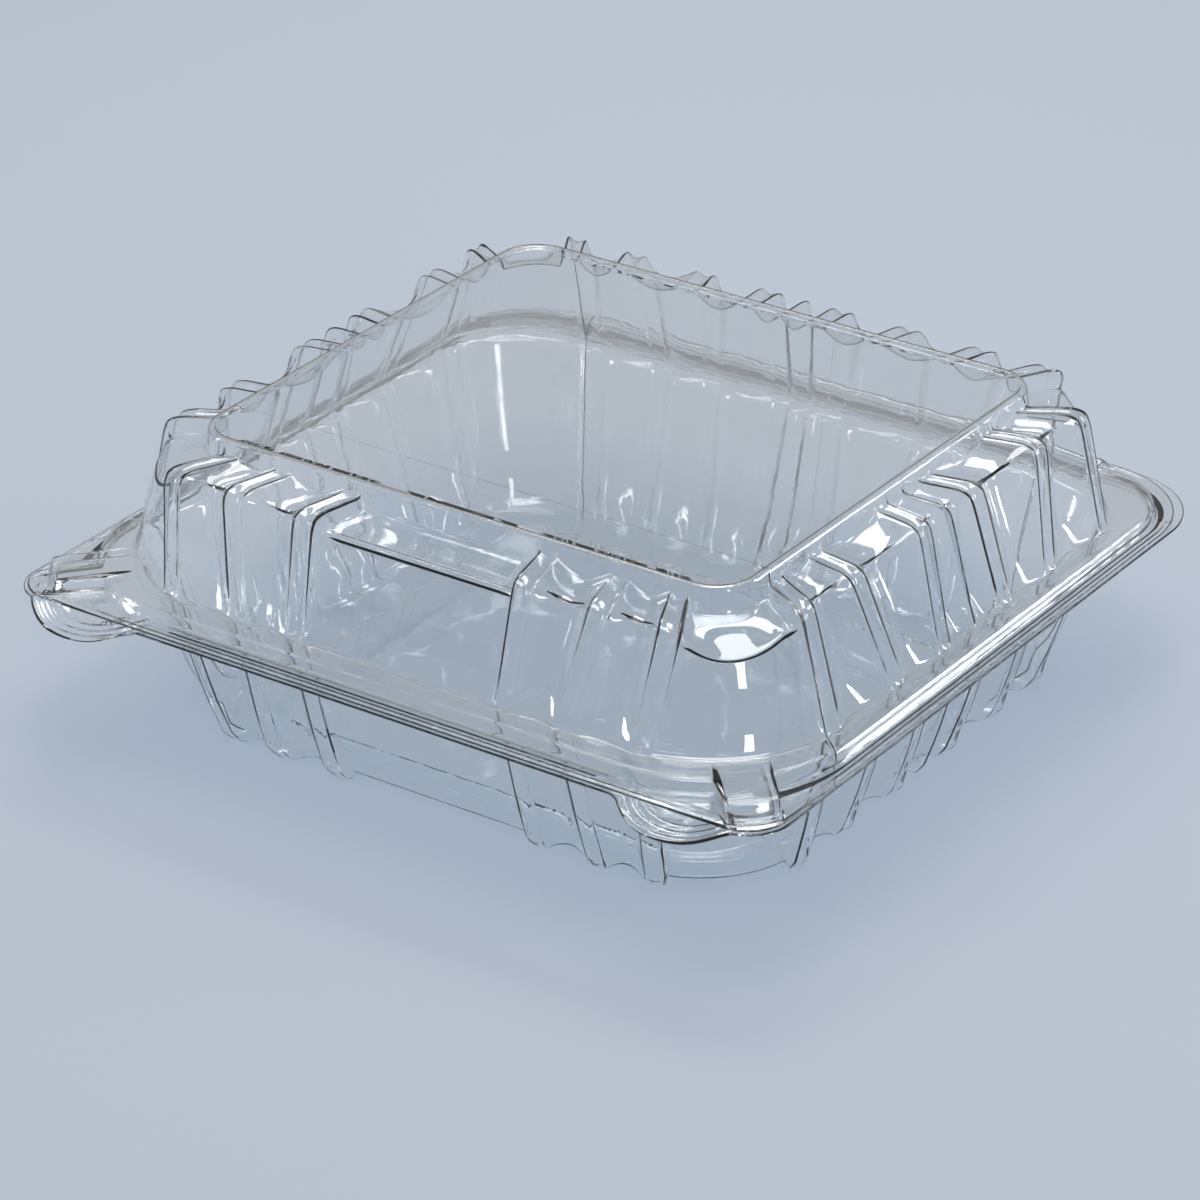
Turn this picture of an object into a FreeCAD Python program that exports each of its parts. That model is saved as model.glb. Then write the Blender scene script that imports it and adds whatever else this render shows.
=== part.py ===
import FreeCAD, Part
import math
import os

# A clear hinged food clamshell, closed and empty, formed from one thin plastic sheet.
# The tray and the lid are drawn as two shells, because the lid turns about the fold at
# the back. Each shell is a stack of closed plan outlines, from the middle of its panel
# out to the edge of its brim, joined by ruled faces on both skins of the sheet.
# Millimetres. +Z up, +X to the right, the two snap corners face -Y, the fold is at +Y.

V = FreeCAD.Vector

# Sheet and heights
WALL = 0.5                  # thickness of the formed sheet
TOTAL_HEIGHT = 82.0         # table to the bead on top of the lid
TRAY_HEIGHT = 42.0          # table to the plane where lid and tray brims meet
RIM_BEAD = 1.0              # height of the bead round the top panel
STEP_HEIGHT = 3.6           # bead to the rib tops
LEDGE_RISE = 4.5            # lid ledge above the meeting plane
CREST_GAP = 1.0             # free height between tray crest and lid ledge
CREST_CLEARANCE = 0.8       # sideways gap between tray crest and lid step

# Plan sizes, measured from the middle of the top panel
TOP_X = 82.3                # half width of the bead on the lid
TOP_Y = 74.7                # half depth of the bead on the lid
TOP_RADIUS = 12.0
BEAD_WIDTH = 2.6
SHOULDER_X = 94.0           # where the rib tops turn down
SHOULDER_Y = 88.0
SHOULDER_RADIUS_FRONT = 24.0
SHOULDER_RADIUS_BACK = 20.0
SHOULDER_DROP = 4.0         # height and reach of the rounded shoulder
FOOT_X = 105.5              # foot of the lid wall
FOOT_FRONT = 98.0
FOOT_BACK = 91.0
FOOT_RADIUS_FRONT = 42.0
FOOT_RADIUS_BACK = 27.0
LEDGE_X = 110.3             # outer edge of the raised ledge of the lid
LEDGE_FRONT = 105.0
LEDGE_BACK = 102.5
LEDGE_RADIUS_FRONT = 40.0
LEDGE_RADIUS_BACK = 22.0
STEP_DRAFT = 0.8            # outward lean of each upright step
BRIM_X = 114.5              # lid brim
BRIM_FRONT = 110.0
BRIM_RADIUS_FRONT = 11.0
BRIM_RADIUS_BACK = 30.0
HINGE_Y = 112.0             # fold line behind the middle of the top panel
FOLD_GAP = 0.1              # each brim stops this far before the fold line
TRAY_BRIM_MARGIN = 1.0      # the tray brim shows this far beyond the lid brim
TRAY_BRIM_RADIUS_BACK = 25.0
FLOOR_X = 92.0              # tray wall at the floor
FLOOR_FRONT = 84.5
FLOOR_BACK = 79.0
FLOOR_RADIUS_FRONT = 34.0
FLOOR_RADIUS_BACK = 23.0
MOUTH_INSET = 1.2           # tray mouth inside the foot of the lid wall

# Tray floor
FLOOR_PANEL_INSET = 16.0    # edge of the raised middle panel
FLOOR_PANEL_RISE = 0.8
FLOOR_BAND_INSET = 6.5      # outer edge of the flat band that the tray stands on
RIB_FOOT_INSET = 2.4        # outer edge of the flat rib feet
BEVEL_HEIGHT = 8.5          # height of the bevel between two rib feet
RIB_TOE_HEIGHT = 3.0

# Ribs. Places are lengths along the outline from the middle of each side,
# at the top of the lid, at the foot of the lid wall and at the tray floor.
RIB_WIDTH = 5.0
RIB_DIP = 0.6               # shallow channel down the face of a rib
SIDE_MIDDLE = 3.0           # the side ribs are spaced about this Y
FRONT_RIBS = ((29.5, 32.0, 31.5), (51.0, 49.5, 50.0), (67.5, 72.0, 67.0))
SIDE_RIBS = ((10.0, 15.0, 13.0), (41.0, 37.0, 37.0), (58.0, 66.0, 58.0))
BACK_RIBS = ((11.0, 8.5, 10.0), (29.0, 31.5, 28.0), (51.0, 48.5, 47.0), (67.5, 71.0, 64.0))
RAMP = 1.6                  # width of the slope from a rib down to a smooth stretch

# Depths below the ribs: at the rib tops, at the shoulder and at the foot of the wall
FLUTE_WIDE_FOOT = (2.4, 4.6, 3.8)
FLUTE_WIDE_TOP = (3.2, 5.0, 1.8)
SMOOTH_CORNER = (3.4, 2.4, 0.9)
FRONT_WINDOW = (3.4, 2.6, 1.2)
SHOULDER_SHARES = (0.6, 0.85, 1.0)   # of the shoulder depth, from its start to its end
DIP_SHARES = (1.0, 1.25, 1.1, 0.8)   # of the rib top depth, from the step to the wall
TRAY_FLUTE_DEPTH = 3.6
TRAY_SMOOTH_DEPTH = 1.6
TRAY_MOUTH_SHARE = 0.8      # of both tray depths, at the mouth
TRAY_TOE_SHARE = 0.45       # of both tray depths, at the outer edge of the rib feet
BEVEL_TOE_SHARE = 0.3       # of the bevel height, at the outer edge of the rib feet
WALL_MIDDLE = 0.5           # place of the middle row of each wall

# Snap buttons on the two front corners, hinge bead and finger tabs
BUTTON_REACH = 12.0         # how far a button stands out from the ledge corner
BUTTON_WIDTH = 13.0
BUTTON_CLEARANCE = 0.8
BUTTON_SLOPE = 1.0          # plan distance taken by each side of a button
BEAD_HALF_LENGTH = 84.0     # hinge bead along the back of both brims
BEAD_HEIGHT = 3.0
TAB_X = 90.0                # middle of a finger tab
TAB_Y = 97.3
TAB_RADIUS = 21.4
TAB_DROP = 3.0

LEDGE_Z = TRAY_HEIGHT + LEDGE_RISE
RIB_TOP_Z = TOTAL_HEIGHT - STEP_HEIGHT
CREST_Z = LEDGE_Z - WALL - CREST_GAP
TAB_FRONT = TAB_Y + TAB_RADIUS
MIDDLE_Y = (TAB_FRONT - HINGE_Y + FOLD_GAP) / 2.0    # moves the middle of the box to Y = 0

# Kinds of stretch round the wall
RIDGE, DIP, WIDE_FOOT, WIDE_TOP, CORNER, WINDOW = range(6)
DEPTHS = {WIDE_FOOT: FLUTE_WIDE_FOOT, WIDE_TOP: FLUTE_WIDE_TOP,
          CORNER: SMOOTH_CORNER, WINDOW: FRONT_WINDOW}

# Construction
CORNER_STOPS = 8            # steps from beside a rib to the middle of a corner
STEADY = 0.02               # holds near parallel planes steady when the sheet is thickened
STRAIGHT = 0.01             # an arc flatter than this is drawn as a line
NOTHING = 1e-9
DECIMALS = 6                # heights that agree to this many places are level
FORWARD = 1                 # both edges of a ruled face run the same way
BRIM_ROWS = 3               # foot of the step, middle of the brim, edge of the brim


class Outline:
    """A rounded rectangle that runs anticlockwise from the middle of its front side."""

    def __init__(self, half_x, front, back, radius_front, radius_back):
        self.half_x = half_x
        self.front = front
        self.back = back
        self.radius_front = radius_front
        self.radius_back = radius_back

    def grown(self, by):
        """The same outline moved outwards."""
        return Outline(self.half_x + by, self.front + by, self.back + by,
                       self.radius_front + by, self.radius_back + by)

    def towards(self, other, share):
        """An outline between this one and another."""
        mixed = [a + (b - a) * share for a, b in zip(self.sizes(), other.sizes())]
        return Outline(*mixed)

    def sizes(self):
        return (self.half_x, self.front, self.back, self.radius_front, self.radius_back)

    def quarter(self, back):
        """Reach along X, reach along Y from the side middle, and corner radius."""
        if back:
            return self.half_x, self.back - SIDE_MIDDLE, self.radius_back
        return self.half_x, self.front + SIDE_MIDDLE, self.radius_front

    def length(self, back):
        """Length of the quarter outline from the middle of an end to the side middle."""
        reach_x, reach_y, radius = self.quarter(back)
        return reach_x + reach_y - 2 * radius + radius * math.pi / 2

    def corner_share(self, back):
        """Share of the quarter outline at the middle of its corner arc."""
        reach_x, reach_y, radius = self.quarter(back)
        return (reach_x - radius + radius * math.pi / 4) / self.length(back)

    def place(self, back, along, inset):
        """Point on the right half, at a length from the end middle, moved inwards."""
        reach_x, reach_y, radius = self.quarter(back)
        straight = reach_x - radius
        arc = radius * math.pi / 2
        if along <= straight:
            x, y = along, reach_y - inset
        elif along <= straight + arc:
            turn = (along - straight) / radius
            x = straight + (radius - inset) * math.sin(turn)
            y = reach_y - radius + (radius - inset) * math.cos(turn)
        else:
            x, y = reach_x - inset, reach_y - radius - (along - straight - arc)
        return x, SIDE_MIDDLE + (y if back else -y)


class Column:
    """One line of points that runs down the wall, on the right half."""

    def __init__(self, back, shares, kind, via=False, corner=None, button=False):
        self.back = back            # nearer the back than the side middle
        self.shares = shares        # share of the quarter outline at top, foot and floor
        self.kind = kind            # rib, flute or smooth stretch that it belongs to
        self.via = via              # middle point of an arc
        self.corner = corner        # 0 in the middle of a corner arc, 1 at shares
        self.button = button        # stands on a snap button
        self.beside = False         # stands at the foot of one side of a button
        self.mirrored = False

    def twin(self):
        """The same column on the left half."""
        other = Column(self.back, self.shares, self.kind, self.via, self.corner, self.button)
        other.beside = self.beside
        other.mirrored = True
        return other

    def share(self, row):
        """Share of the quarter outline on one row."""
        top, foot, floor = self.shares
        share = top + (foot - top) * row.lean
        share += (floor - share) * row.floor
        if self.corner is None:
            return share
        middle = row.outline.corner_share(self.back)
        way = (share - middle) * self.corner
        if self.corner and (self.button or self.beside):
            way -= math.copysign(row.squeeze / row.outline.length(self.back), way)
        return middle + way


class Row:
    """One closed line of points that runs round the shell."""

    def __init__(self, outline, z, lean=1.0, depth=None, drop=None, button=0.0,
                 squeeze=0.0, tab=False, floor=0.0):
        self.outline = outline
        self.z = z
        self.lean = lean            # 0 at the top of the lid, 1 at the foot of its wall
        self.floor = floor          # 0 at the foot of the lid wall, 1 at the tray floor
        self.depth = depth or {}    # inward depth of each kind of stretch
        self.drop = drop or {}      # downward depth of each kind of stretch
        self.button = button        # how far a button pushes this row out
        self.squeeze = squeeze      # how much narrower each side of the button is
        self.tab = tab              # this row follows the finger tabs


def top_outline():
    return Outline(TOP_X, TOP_Y, TOP_Y, TOP_RADIUS, TOP_RADIUS)


def shoulder_outline():
    return Outline(SHOULDER_X, SHOULDER_Y, SHOULDER_Y,
                   SHOULDER_RADIUS_FRONT, SHOULDER_RADIUS_BACK)


def foot_outline():
    return Outline(FOOT_X, FOOT_FRONT, FOOT_BACK, FOOT_RADIUS_FRONT, FOOT_RADIUS_BACK)


def ledge_outline():
    return Outline(LEDGE_X, LEDGE_FRONT, LEDGE_BACK, LEDGE_RADIUS_FRONT, LEDGE_RADIUS_BACK)


def floor_outline():
    return Outline(FLOOR_X, FLOOR_FRONT, FLOOR_BACK, FLOOR_RADIUS_FRONT, FLOOR_RADIUS_BACK)


def lid_brim_outline():
    return Outline(BRIM_X, BRIM_FRONT, HINGE_Y - FOLD_GAP,
                   BRIM_RADIUS_FRONT, BRIM_RADIUS_BACK)


def tray_brim_outline():
    return Outline(BRIM_X + TRAY_BRIM_MARGIN, BRIM_FRONT + TRAY_BRIM_MARGIN,
                   HINGE_Y - FOLD_GAP,
                   BRIM_RADIUS_FRONT + TRAY_BRIM_MARGIN, TRAY_BRIM_RADIUS_BACK)


def shares_at(back, lengths, from_side):
    """Shares of the quarter outline for lengths at the top, foot and floor."""
    outlines = (top_outline(), foot_outline(), floor_outline())
    shares = []
    for outline, along in zip(outlines, lengths):
        total = outline.length(back)
        shares.append((total - along if from_side else along) / total)
    return shares


def rib_columns(back, lengths, from_side):
    """The two edges of a rib and the channel between them."""
    columns = []
    for step, kind in ((-1, RIDGE), (0, DIP), (1, RIDGE)):
        offset = step * RIB_WIDTH / 2 * (-1 if from_side else 1)
        moved = [along + offset for along in lengths]
        columns.append(Column(back, shares_at(back, moved, from_side), kind, via=kind == DIP))
    return columns


def between(before, after, share, kind, via=False):
    """A column between two others of the same quarter."""
    shares = [a + (b - a) * share for a, b in zip(before.shares, after.shares)]
    return Column(before.back, shares, kind, via)


def near(column, other, distance, kind):
    """A column at a plan distance from one, on the way to another."""
    span = abs(other.shares[1] - column.shares[1]) * foot_outline().length(column.back)
    return between(column, other, distance / span, kind)


def flute(before, after, kind):
    return [between(before, after, 0.5, kind, via=True)]


def stops(first, last, count):
    """Even steps from one value to another, both included."""
    return [first + (last - first) * step / count for step in range(int(count) + 1)]


def corner_half(rib, other, button):
    """Columns from beside a rib to the middle of a smooth corner."""
    start = near(rib, other, RAMP, CORNER)
    if not button:
        return [Column(rib.back, start.shares, CORNER, via=index % 2 == 1, corner=mark)
                for index, mark in enumerate(stops(1.0, 0.0, CORNER_STOPS))]
    ledge = ledge_outline()
    reach = abs(ledge.corner_share(rib.back) - start.shares[1]) * ledge.length(rib.back)
    edge = BUTTON_WIDTH / 2 / reach
    outside = edge + BUTTON_SLOPE / reach
    columns = [Column(rib.back, start.shares, CORNER, via=index % 2 == 1, corner=mark)
               for index, mark in enumerate(stops(1.0, outside, CORNER_STOPS - 2))]
    columns[-1].beside = True
    columns.append(Column(rib.back, start.shares, CORNER, corner=edge, button=True))
    columns.append(Column(rib.back, start.shares, CORNER, via=True, corner=0.0, button=True))
    return columns


def corner_columns(before, after, button):
    """A smooth corner, with a snap button in its middle on a front corner."""
    first = corner_half(before, after, button)
    second = corner_half(after, before, button)
    return first + second[-2::-1]


def flute_kind(index, first):
    """Flutes take turns in being wide at the foot and wide at the top."""
    return (WIDE_FOOT, WIDE_TOP)[(index + first) % 2]


def right_half():
    """Columns from the middle of the front, round the right side, to the middle of the back."""
    middle = Column(False, (0.0, 0.0, 0.0), WINDOW)
    ribs = [rib_columns(False, lengths, False) for lengths in FRONT_RIBS]
    columns = [middle, near(ribs[0][0], middle, RAMP, WINDOW)]
    for index, rib in enumerate(ribs):
        if index:
            columns += flute(ribs[index - 1][2], rib[0], flute_kind(index, 0))
        columns += rib
    front_side = [rib_columns(False, lengths, True) for lengths in reversed(SIDE_RIBS)]
    columns += corner_columns(ribs[-1][2], front_side[0][0], True)
    for index, rib in enumerate(front_side):
        if index:
            columns += flute(front_side[index - 1][2], rib[0], flute_kind(index, 1))
        columns += rib
    columns.append(Column(False, (1.0, 1.0, 1.0), WIDE_FOOT, via=True))
    back_side = [rib_columns(True, lengths, True)[::-1] for lengths in SIDE_RIBS]
    for index, rib in enumerate(back_side):
        if index:
            columns += flute(back_side[index - 1][2], rib[0], flute_kind(index, 0))
        columns += rib
    back_ribs = [rib_columns(True, lengths, False)[::-1] for lengths in reversed(BACK_RIBS)]
    columns += corner_columns(back_side[-1][2], back_ribs[0][0], False)
    for index, rib in enumerate(back_ribs):
        if index:
            columns += flute(back_ribs[index - 1][2], rib[0], flute_kind(index, 0))
        columns += rib
    columns.append(Column(True, (0.0, 0.0, 0.0), WIDE_TOP, via=True))
    return columns


def all_columns():
    right = right_half()
    left = [column.twin() for column in reversed(right[1:-1])]
    return right + left


def valley(place):
    """Inward depths for every kind of stretch at one height of the lid wall.
    place runs from 0 at the rib tops, by 1 at the shoulder, to 2 at the foot."""
    depths = {DIP: RIB_DIP * min(place, 1.0)}
    for kind, (_, shoulder, foot) in DEPTHS.items():
        if place <= 1.0:
            depths[kind] = shoulder * place
        else:
            depths[kind] = shoulder + (foot - shoulder) * (place - 1.0)
    return depths


def sinking(share):
    """Downward depths for every kind of stretch near the rib tops."""
    drops = {kind: depths[0] * share for kind, depths in DEPTHS.items()}
    drops[DIP] = RIB_DIP * share
    return drops


def leaning(rows):
    """Ribs shift sideways evenly along their length, from the first row to the last."""
    marks = [0.0]
    for a, b in zip(rows, rows[1:]):
        step = math.hypot(b.outline.half_x - a.outline.half_x, b.z - a.z)
        marks.append(marks[-1] + step)
    for row, mark in zip(rows, marks):
        row.lean = mark / marks[-1]
    return rows


def lid_rows():
    """Rows of the outer skin of the lid, from the top panel to the edge of the brim."""
    top, shoulder, foot = top_outline(), shoulder_outline(), foot_outline()
    ledge, brim = ledge_outline(), lid_brim_outline()
    bead_slope = BEAD_WIDTH / 4
    round_share = math.sqrt(0.5)
    wall_top = shoulder.grown(SHOULDER_DROP)
    wall_top_z = RIB_TOP_Z - SHOULDER_DROP
    brim_z = TRAY_HEIGHT + WALL
    start, middle, end = SHOULDER_SHARES
    panel = [
        Row(top.grown(-BEAD_WIDTH), TOTAL_HEIGHT - RIM_BEAD, lean=0.0),
        Row(top.grown(-BEAD_WIDTH + bead_slope), TOTAL_HEIGHT, lean=0.0),
        Row(top.grown(-bead_slope), TOTAL_HEIGHT, lean=0.0),
        Row(top, TOTAL_HEIGHT - bead_slope, lean=0.0),
    ]
    wall = leaning([
        Row(top.grown(STEP_DRAFT), RIB_TOP_Z, drop=sinking(DIP_SHARES[0])),
        Row(shoulder, RIB_TOP_Z, depth=valley(start), drop=sinking(DIP_SHARES[1])),
        Row(shoulder.grown(SHOULDER_DROP * round_share),
            RIB_TOP_Z - SHOULDER_DROP * (1 - round_share),
            depth=valley(middle), drop=sinking(DIP_SHARES[2])),
        Row(wall_top, wall_top_z, depth=valley(end), drop=sinking(DIP_SHARES[3])),
        Row(wall_top.towards(foot, WALL_MIDDLE),
            wall_top_z + (LEDGE_Z - wall_top_z) * WALL_MIDDLE,
            depth=valley(1.0 + WALL_MIDDLE)),
        Row(foot, LEDGE_Z, depth=valley(2.0)),
    ])
    flange = [
        Row(ledge, LEDGE_Z, button=BUTTON_REACH),
        Row(ledge.grown(STEP_DRAFT), brim_z, button=BUTTON_REACH),
        Row(brim, brim_z),
    ]
    return panel + wall + flange


def tray_depths(share):
    """Inward depths on the tray wall."""
    return {WIDE_FOOT: TRAY_FLUTE_DEPTH * share, WIDE_TOP: TRAY_FLUTE_DEPTH * share,
            CORNER: TRAY_SMOOTH_DEPTH * share, WINDOW: TRAY_SMOOTH_DEPTH * share,
            DIP: RIB_DIP * share}


def lifted(height):
    """Stretches between the ribs rise by this height, as drops below zero."""
    return {WIDE_FOOT: -height, WIDE_TOP: -height, CORNER: -height, WINDOW: -height}


def tray_rows():
    """Rows of the outer skin of the tray, from the floor panel to the edge of the brim."""
    floor = floor_outline()
    mouth = foot_outline().grown(-MOUTH_INSET)
    crest = ledge_outline().grown(-WALL - CREST_CLEARANCE - WALL)
    brim = tray_brim_outline()
    crest_z = CREST_Z - WALL
    brim_z = TRAY_HEIGHT - WALL
    squeeze = WALL + BUTTON_CLEARANCE + WALL
    return [
        Row(floor.grown(-FLOOR_PANEL_INSET - FLOOR_PANEL_RISE), FLOOR_PANEL_RISE, floor=1.0),
        Row(floor.grown(-FLOOR_PANEL_INSET), 0.0, floor=1.0),
        Row(floor.grown(-FLOOR_BAND_INSET), 0.0, floor=1.0),
        Row(floor.grown(-RIB_FOOT_INSET), 0.0, floor=1.0,
            depth=tray_depths(TRAY_TOE_SHARE), drop=lifted(BEVEL_HEIGHT * BEVEL_TOE_SHARE)),
        Row(floor, RIB_TOE_HEIGHT, floor=1.0,
            depth=tray_depths(1.0), drop=lifted(BEVEL_HEIGHT - RIB_TOE_HEIGHT)),
        Row(floor.towards(mouth, WALL_MIDDLE), crest_z * WALL_MIDDLE,
            floor=1.0 - WALL_MIDDLE, depth=tray_depths(1.0)),
        Row(mouth, crest_z, depth=tray_depths(TRAY_MOUTH_SHARE)),
        Row(crest, crest_z, button=BUTTON_REACH, squeeze=squeeze),
        Row(crest.grown(STEP_DRAFT), brim_z, button=BUTTON_REACH, squeeze=squeeze),
        Row(brim, brim_z, tab=True),
    ]


def column_point(column, row):
    """The point where a column crosses a row, on the right half."""
    along = column.share(row) * row.outline.length(column.back)
    x, y = row.outline.place(column.back, along, row.depth.get(column.kind, 0.0))
    z = row.z - row.drop.get(column.kind, 0.0)
    if column.button:
        x += row.button * math.sqrt(0.5)
        y -= row.button * math.sqrt(0.5)
    if row.tab and not column.back:
        x, y, z = tab_point(x, y, z)
    return V(x, y, z)


def tab_point(x, y, z):
    """Brim edge pushed out to a round, lowered finger tab near the front corner."""
    across = abs(x - TAB_X)
    if across >= TAB_RADIUS:
        return x, y, z
    front = -TAB_Y - math.sqrt(TAB_RADIUS ** 2 - across ** 2)
    reach = y - front
    if reach <= 0:
        return x, y, z
    full = TAB_FRONT - BRIM_FRONT
    return x, front, z - TAB_DROP * min(reach / full, 1.0)


def bead_row(before, after, columns, height):
    """The row half way across a brim, which rises as a bead beside the fold."""
    points = []
    for a, b, column in zip(before, after, columns):
        point = (a + b) / 2
        if column.back and point.x < BEAD_HALF_LENGTH:
            point.z += height
        points.append(point)
    return points


def placed(point, column):
    return V(-point.x if column.mirrored else point.x, point.y + MIDDLE_Y, point.z)


def grid_of(rows, columns, bead_height):
    """Points of the outer skin: rows by columns. The bead row lies before the last."""
    lines = [[column_point(column, row) for column in columns] for row in rows]
    lines.insert(-1, bead_row(lines[-2], lines[-1], columns, bead_height))
    return [[placed(p, column) for p, column in zip(line, columns)] for line in lines]


def quad_normal(a, b, c, d):
    """Direction that a small four-sided piece of sheet faces."""
    normal = (c - a).cross(d - b)
    return normal / normal.Length if normal.Length > NOTHING else V(0, 0, 0)


def quads_round(grid, i, j):
    """Normals of the four pieces of sheet that meet at one grid point."""
    count = len(grid[0])
    found = []
    for row in (i - 1, i):
        if not 0 <= row < len(grid) - 1:
            continue
        for left in (j - 1, j):
            a, b = grid[row][left % count], grid[row][(left + 1) % count]
            d, c = grid[row + 1][left % count], grid[row + 1][(left + 1) % count]
            found.append(quad_normal(d, c, b, a))
    return found


def corner_offset(normals, distance):
    """The move that takes a corner to this distance from every plane that meets there,
    by least squares, with a small term that keeps near parallel planes steady."""
    rows = [[STEADY if r == c else 0.0 for c in range(3)] for r in range(3)]
    for n in normals:
        parts = (n.x, n.y, n.z)
        for r in range(3):
            for c in range(3):
                rows[r][c] += parts[r] * parts[c]
    total = V(0, 0, 0)
    for n in normals:
        total += n
    ax, ay, az = V(*rows[0]), V(*rows[1]), V(*rows[2])
    volume = ax.dot(ay.cross(az))
    solved = (ay.cross(az) * total.x + az.cross(ax) * total.y + ax.cross(ay) * total.z)
    return solved * (distance / volume)


def offset_grid(grid, outward):
    """The other skin of the sheet. The rows of the brim stay on their own side of the
    meeting plane."""
    result = []
    for i, line in enumerate(grid):
        moved = []
        for j, point in enumerate(line):
            if i in (0, len(grid) - 1):
                moved.append(point - V(0, 0, outward * WALL))
                continue
            moved.append(point - corner_offset(quads_round(grid, i, j), WALL) * outward)
            if i >= len(grid) - BRIM_ROWS:
                moved[-1].z = outward * max(outward * moved[-1].z, outward * TRAY_HEIGHT)
        result.append(moved)
    return result


def edge_through(start, via, end):
    """A line, or an arc when a middle point stands off the line."""
    if via is None:
        return Part.LineSegment(start, end).toShape()
    chord = end - start
    off = (via - start).cross(chord).Length / chord.Length
    if off < STRAIGHT:
        return Part.LineSegment(start, end).toShape()
    return Part.Arc(start, via, end).toShape()


def levelled(start, via, end):
    """A middle point at the height of the straight line between the ends, so that an
    arc on the brim never bulges through the meeting plane."""
    before = math.hypot(via.x - start.x, via.y - start.y)
    after = math.hypot(end.x - via.x, end.y - via.y)
    share = before / (before + after)
    return V(via.x, via.y, start.z + (end.z - start.z) * share)


def edges_of(line, columns, brim):
    """The edges of one row, in order."""
    stops = [j for j, column in enumerate(columns) if not column.via]
    edges = []
    for place, j in enumerate(stops):
        following = stops[(place + 1) % len(stops)]
        middle = (j + 1) % len(columns)
        via = line[middle] if middle != following else None
        if via is not None and brim:
            via = levelled(line[j], via, line[following])
        edges.append(Part.Edge(edge_through(line[j], via, line[following])))
    return edges


def heights(edges):
    """All the different heights of the ends and middles of a row's edges."""
    points = [edge.valueAt(share) for edge in edges for share in
              (edge.FirstParameter, (edge.FirstParameter + edge.LastParameter) / 2)]
    return {round(point.z, DECIMALS) for point in points}


def flat_ring(inside, outside):
    """One flat face between two closed rows."""
    wires = [Part.Wire(outside), Part.Wire(inside)]
    return Part.makeFace(wires, "Part::FaceMakerBullseye")


def skin_faces(edge_rows):
    """Faces between each row and the next: one where both are level, else ruled ones."""
    faces = []
    for upper, lower in zip(edge_rows, edge_rows[1:]):
        if len(heights(upper) | heights(lower)) == 1:
            faces.append(flat_ring(upper, lower))
            continue
        for a, b in zip(upper, lower):
            faces.append(Part.makeRuledSurface(a, b, FORWARD))
    return faces


def shell_solid(rows, columns, outward):
    """A closed sheet: outer skin, inner skin, two panels and the cut edge.
    outward is 1 for the lid, whose panel faces up, and -1 for the tray."""
    outer = grid_of(rows, columns, BEAD_HEIGHT * outward)
    inner = offset_grid(outer, outward)
    first_brim = len(outer) - BRIM_ROWS
    outer_edges = [edges_of(line, columns, i >= first_brim) for i, line in enumerate(outer)]
    inner_edges = [edges_of(line, columns, i >= first_brim) for i, line in enumerate(inner)]
    faces = skin_faces(outer_edges) + skin_faces(inner_edges)
    faces += skin_faces([outer_edges[-1], inner_edges[-1]])
    faces.append(Part.Face(Part.Wire(outer_edges[0])))
    faces.append(Part.Face(Part.Wire(inner_edges[0])))
    shell = Part.makeShell(faces)
    shell.sewShape()
    solid = Part.makeSolid(shell)
    if solid.Volume < 0:
        solid.reverse()
    return solid


def main():
    os.makedirs("parts", exist_ok=True)
    columns = all_columns()
    lid = shell_solid(lid_rows(), columns, 1)
    tray = shell_solid(tray_rows(), columns, -1)
    for name, solid in (("lid", lid), ("base_tray", tray)):
        solid.exportStep(os.path.join("parts", name + ".step"))
        box = solid.BoundBox
        print(name, solid.isValid(), round(solid.Volume), len(solid.Faces), box)


main()
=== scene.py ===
"""A clear hinged food clamshell: two thin formed shells and the fold that joins them."""

import math

import bpy
import numpy as np
from bpy.props import FloatProperty, PointerProperty, StringProperty
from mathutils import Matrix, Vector


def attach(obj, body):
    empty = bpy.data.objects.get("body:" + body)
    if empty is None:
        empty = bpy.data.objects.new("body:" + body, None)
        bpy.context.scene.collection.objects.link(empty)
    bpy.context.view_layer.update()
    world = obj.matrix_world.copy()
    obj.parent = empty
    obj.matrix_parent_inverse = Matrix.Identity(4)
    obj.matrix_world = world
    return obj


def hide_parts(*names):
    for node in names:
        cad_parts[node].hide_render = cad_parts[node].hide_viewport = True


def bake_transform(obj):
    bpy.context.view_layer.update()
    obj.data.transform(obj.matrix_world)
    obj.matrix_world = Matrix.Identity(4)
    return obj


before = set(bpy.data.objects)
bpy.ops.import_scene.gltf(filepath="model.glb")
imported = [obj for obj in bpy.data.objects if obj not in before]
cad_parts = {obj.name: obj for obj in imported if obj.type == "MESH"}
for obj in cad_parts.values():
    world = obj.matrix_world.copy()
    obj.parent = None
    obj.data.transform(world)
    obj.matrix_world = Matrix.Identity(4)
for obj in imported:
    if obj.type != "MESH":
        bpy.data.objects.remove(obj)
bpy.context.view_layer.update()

bl_info = {
    "name": "Clear clamshell pack",
    "version": (1, 0, 0),
    "blender": (4, 5, 0),
    "location": "3D View > Sidebar > Clamshell",
    "description": "Builds the shells of a clear hinged food clamshell and a plain stage",
    "category": "Add Mesh",
}

MM = 0.001

# Kinds of stretch round the wall
WINDOW, RIB, WIDE_FOOT, WIDE_TOP, CORNER = range(5)

# Places of the ribs in millimetres from the middle of each side, at the top of the lid,
# at the foot of the lid wall and at the tray floor
FRONT_RIBS = ((29.5, 32.0, 31.5), (51.0, 49.5, 50.0), (67.5, 72.0, 67.0))
SIDE_RIBS = ((10.0, 15.0, 13.0), (41.0, 37.0, 37.0), (58.0, 66.0, 58.0))
BACK_RIBS = ((11.0, 8.5, 10.0), (29.0, 31.5, 28.0), (51.0, 48.5, 47.0), (67.5, 71.0, 64.0))

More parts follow.
